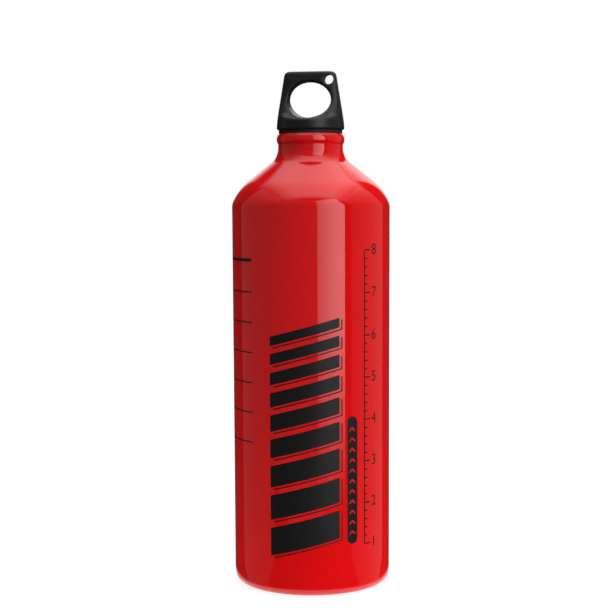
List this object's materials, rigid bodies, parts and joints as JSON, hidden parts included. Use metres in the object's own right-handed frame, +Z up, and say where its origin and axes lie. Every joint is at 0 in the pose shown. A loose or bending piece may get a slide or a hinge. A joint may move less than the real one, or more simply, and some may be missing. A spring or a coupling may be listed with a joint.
{
  "type": "camping fuel bottle",
  "caption": "Tall round aluminium fuel bottle with a sloped shoulder, a rolled neck and a black screw cap with a finger loop.",
  "frame": {"origin": "middle of the foot, on the plane that the bottle stands on", "axes": "+Z up along the bottle's axis, -Y towards the front of the print, the cap's loop faces within 9 degrees of Y"},
  "size_m": [0.08, 0.08, 0.26],
  "materials": {
    "red_lacquer": "gloss red lacquer over aluminium, with black print",
    "bare_aluminium": "turned",
    "black_rubber": "matte",
    "black_plastic": "satin moulded"
  },
  "bodies": {
    "bottle": {"bottle_shell": "red_lacquer", "neck_thread_ring": "bare_aluminium"},
    "seal": {"cap_gasket": "black_rubber"},
    "cap": {"screw_cap": "black_plastic"}
  },
  "joints": [
    {"name": "cap_lift", "type": "slide", "parent": "bottle", "child": "seal", "axis": [0, 0, 1], "range_m": [0, 0.021]},
    {"name": "cap_turn", "type": "hinge", "parent": "seal", "child": "cap", "pos_m": [0, 0, 0.231], "axis": [0, 0, 1], "range_deg": [0, 2160]}
  ],
  "couplings": [
    {"joint": "cap_lift", "follows": "cap_turn", "m_per_rad": 0.00055704}
  ]
}
